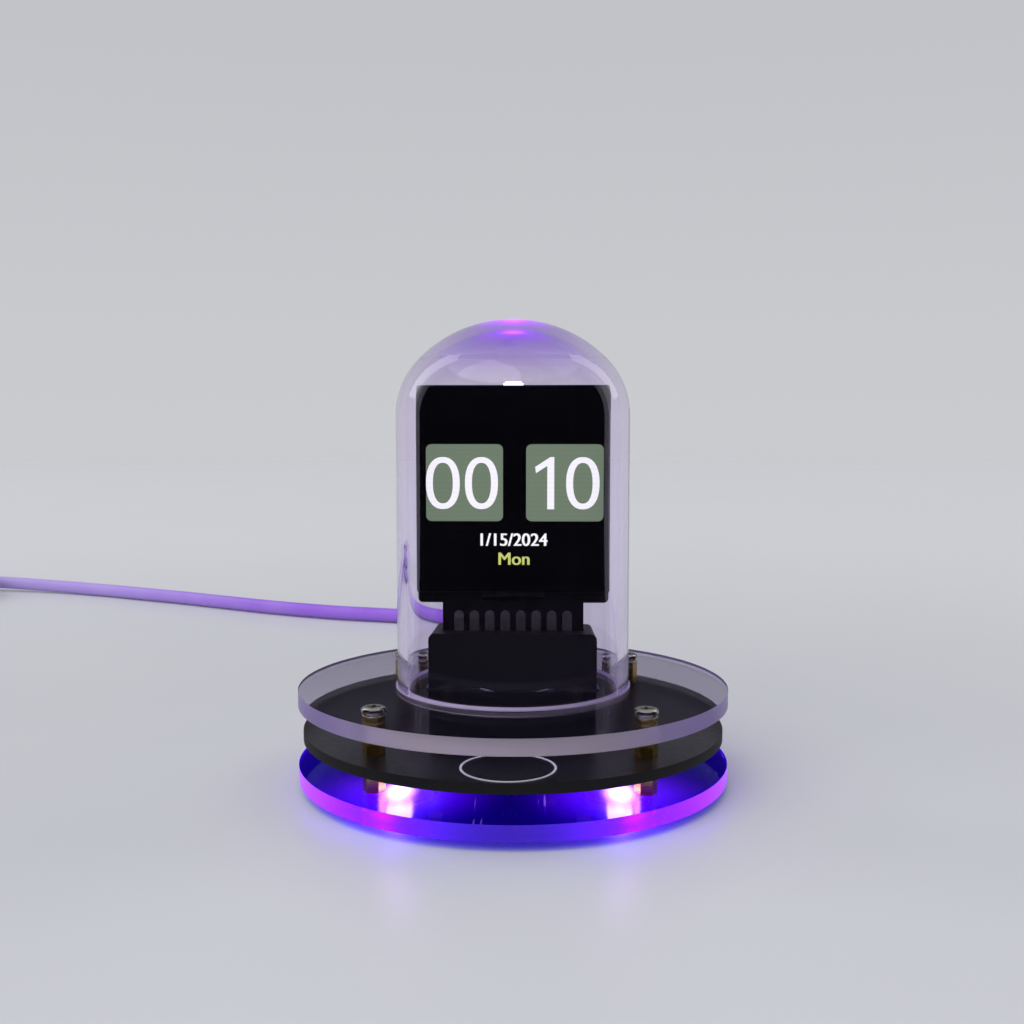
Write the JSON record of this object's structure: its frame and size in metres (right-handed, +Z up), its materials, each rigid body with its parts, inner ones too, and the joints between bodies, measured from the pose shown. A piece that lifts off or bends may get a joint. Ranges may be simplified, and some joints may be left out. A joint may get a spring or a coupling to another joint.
{
  "type": "desk clock",
  "caption": "Desk clock with a square colour display on a plug-in card under a clear dome, on a stack of clear round plates lit from beneath, with a touch ring and a power lead.",
  "frame": {"origin": "on the dome's axis, at the level of the surface that the lower screw heads stand on", "axes": "+Z up along the dome's axis, the display faces -Y, +X to the right as seen from the front, the power lead leaves at +Y"},
  "size_m": [0.2711, 0.2408, 0.0753],
  "materials": {
    "clear_acrylic": "polished, clear",
    "lit_acrylic": "polished, clear, lit violet through its edge",
    "board_black": "satin solder mask on fibreglass",
    "ring_print": "screen print",
    "screw_steel": "nickel plated",
    "standoff_brass": "turned",
    "socket_plastic": "moulded, satin",
    "contact_bronze": "gold flashed",
    "pad_tin": "tinned",
    "display_frame": "moulded",
    "display_glass": "polished, dark",
    "flex_film": "film with a black cover layer",
    "connector_plastic": "moulded",
    "chip_black": "moulded",
    "led_body": "moulded, lit",
    "radio_board": "satin solder mask",
    "shield_steel": "tinned",
    "capacitor_ceramic": "fired",
    "resistor_black": "glazed",
    "switch_black": "moulded",
    "lead_pvc": "satin",
    "grip_plastic": "moulded, satin",
    "tie_fabric": "hook and loop"
  },
  "bodies": {
    "clock": {"base_plate": "lit_acrylic", "lower_screws": "screw_steel", "lower_standoffs": "standoff_brass", "control_board": "board_black", "touch_ring": "ring_print", "upper_standoffs": "standoff_brass", "top_plate": "clear_acrylic", "upper_screws": "screw_steel", "card_socket": "socket_plastic", "socket_contacts": "contact_bronze", "display_card": "board_black", "card_pads": "pad_tin", "lcd_frame": "display_frame", "lcd_glass": "display_glass", "lcd_flex": "flex_film", "flex_connector": "connector_plastic", "card_chips": "chip_black", "crown_led": "led_body", "base_leds": "led_body", "radio_module": "radio_board", "radio_shield": "shield_steel", "usb_socket": "shield_steel", "usb_tongue": "socket_plastic", "regulator": "chip_black", "serial_chip": "chip_black", "touch_chip": "chip_black", "capacitors": "capacitor_ceramic", "resistors": "resistor_black", "reset_switch": "shield_steel"},
    "dome": {"dome": "clear_acrylic"},
    "reset_button": {"reset_button": "switch_black"},
    "power_lead": {"plug_shell": "shield_steel", "plug_grip": "grip_plastic", "plug_boot": "lead_pvc", "usb_cable": "lead_pvc", "cable_coil": "lead_pvc", "cable_ties": "tie_fabric", "cable_tail": "lead_pvc", "supply_boot": "lead_pvc", "supply_grip": "grip_plastic", "supply_shell": "shield_steel", "supply_tongue": "socket_plastic"}
  },
  "joints": [
    {"name": "dome_lift", "type": "slide", "parent": "clock", "child": "dome", "axis": [0, 0, 1], "range_m": [0, 0.06]},
    {"name": "reset_press", "type": "slide", "parent": "clock", "child": "reset_button", "axis": [-0.4226, -0.9063, 0], "range_m": [0, 0.00025], "stiffness_N_per_m": 800, "springref_m": -0.0003},
    {"name": "plug_pull", "type": "slide", "parent": "clock", "child": "power_lead", "axis": [0, 1, 0], "range_m": [0, 0.012]}
  ]
}
